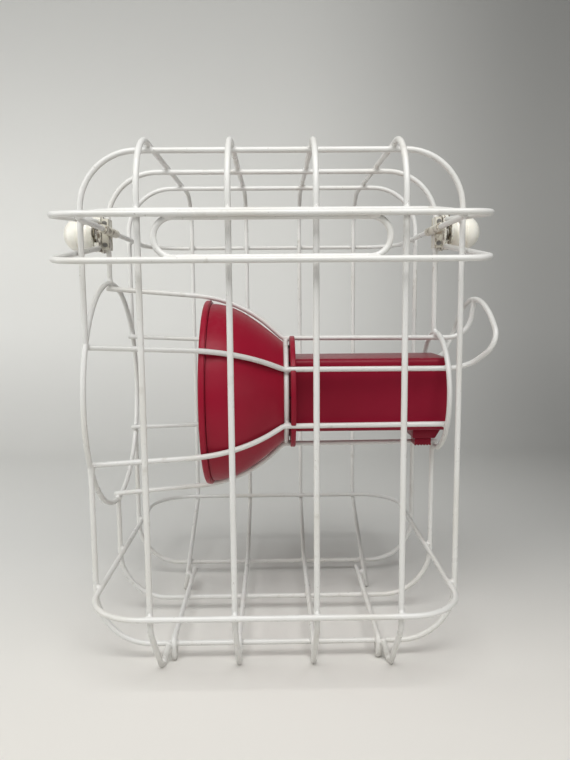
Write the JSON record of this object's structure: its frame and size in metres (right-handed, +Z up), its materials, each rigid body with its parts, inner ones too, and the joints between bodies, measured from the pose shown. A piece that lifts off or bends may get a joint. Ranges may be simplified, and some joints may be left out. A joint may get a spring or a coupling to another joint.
{
  "type": "caged lantern torch",
  "caption": "Battery hand lamp held in a round cradle inside a coated wire cage on wire feet, with a fold-over double-wire carrying handle on clamp knobs.",
  "frame": {"origin": "floor, at the centre of the object's footprint box", "axes": "+X along the lamp from the bell to the case's end, +Y to the back, -Y to the handle's front, +Z up"},
  "size_m": [0.415, 0.3736, 0.4629],
  "materials": {
    "coated_wire": "smooth glossy plastic coating over steel wire",
    "ivory_plastic": "moulded, semi-gloss",
    "zinc_steel": "zinc plated",
    "red_plastic": "moulded, satin",
    "clear_lens": "clear",
    "black_rubber": "matte",
    "mirror_reflector": "bright metallised",
    "bulb_glass": "clear glass in a metal cap",
    "black_plastic": "matte",
    "phenolic_board": "matte laminate",
    "battery_jacket": "satin jacket",
    "brass_contact": "plain"
  },
  "bodies": {
    "cage": {"hoop_front": "coated_wire", "hoop_middle_upper": "coated_wire", "hoop_middle_lower": "coated_wire", "hoop_rear": "coated_wire", "long_wire_outer_left": "coated_wire", "long_wire_inner_left": "coated_wire", "long_wire_inner_right": "coated_wire", "long_wire_outer_right": "coated_wire", "foot_rail_left": "coated_wire", "foot_rail_right": "coated_wire", "lower_ring": "coated_wire", "upper_ring": "coated_wire", "inlet_ring": "coated_wire", "neck_ring": "coated_wire", "outlet_ring": "coated_wire", "cradle_wire_top": "coated_wire", "cradle_wire_front_upper": "coated_wire", "cradle_wire_front_lower": "coated_wire", "cradle_wire_bottom": "coated_wire", "cradle_wire_back_lower": "coated_wire", "cradle_wire_back_upper": "coated_wire", "lip_arch": "coated_wire", "hub_clamp_left": "ivory_plastic", "hub_clamp_right": "ivory_plastic", "clamp_screws_left": "zinc_steel", "clamp_screws_right": "zinc_steel", "pivot_stud_left": "zinc_steel", "pivot_stud_right": "zinc_steel", "hub_washer_left": "zinc_steel", "hub_washer_right": "zinc_steel", "bell_shell": "red_plastic", "bell_rim": "red_plastic", "lens": "clear_lens", "lens_gasket": "black_rubber", "reflector": "mirror_reflector", "bulb": "bulb_glass", "bulb_holder": "black_plastic", "contact_plate": "phenolic_board", "lamp_flange": "red_plastic", "flange_screws": "zinc_steel", "lamp_case": "red_plastic", "battery": "battery_jacket", "battery_springs": "brass_contact", "switch_base": "red_plastic"},
    "handle": {"handle_upper_rail": "coated_wire", "handle_lower_rail": "coated_wire", "handle_grip_loop": "coated_wire", "hub_plate_left": "ivory_plastic", "hub_plate_right": "ivory_plastic"},
    "knob_left": {"knob_left": "ivory_plastic"},
    "knob_right": {"knob_right": "ivory_plastic"},
    "slider": {"switch_slider": "red_plastic"}
  },
  "joints": [
    {"name": "handle_swing", "type": "hinge", "parent": "cage", "child": "handle", "pos_m": [0, -0.01459, 0.395], "axis": [-1, 0, 0], "range_deg": [-5, 150]},
    {"name": "switch_slide", "type": "slide", "parent": "cage", "child": "slider", "axis": [1, 0, 0], "range_m": [0, 0.003]},
    {"name": "knob_left_turn", "type": "hinge", "parent": "cage", "child": "knob_left", "pos_m": [-0.19, -0.01459, 0.395], "axis": [-1, 0, 0], "continuous": true},
    {"name": "knob_right_turn", "type": "hinge", "parent": "cage", "child": "knob_right", "pos_m": [0.19, -0.01459, 0.395], "axis": [1, 0, 0], "continuous": true}
  ]
}
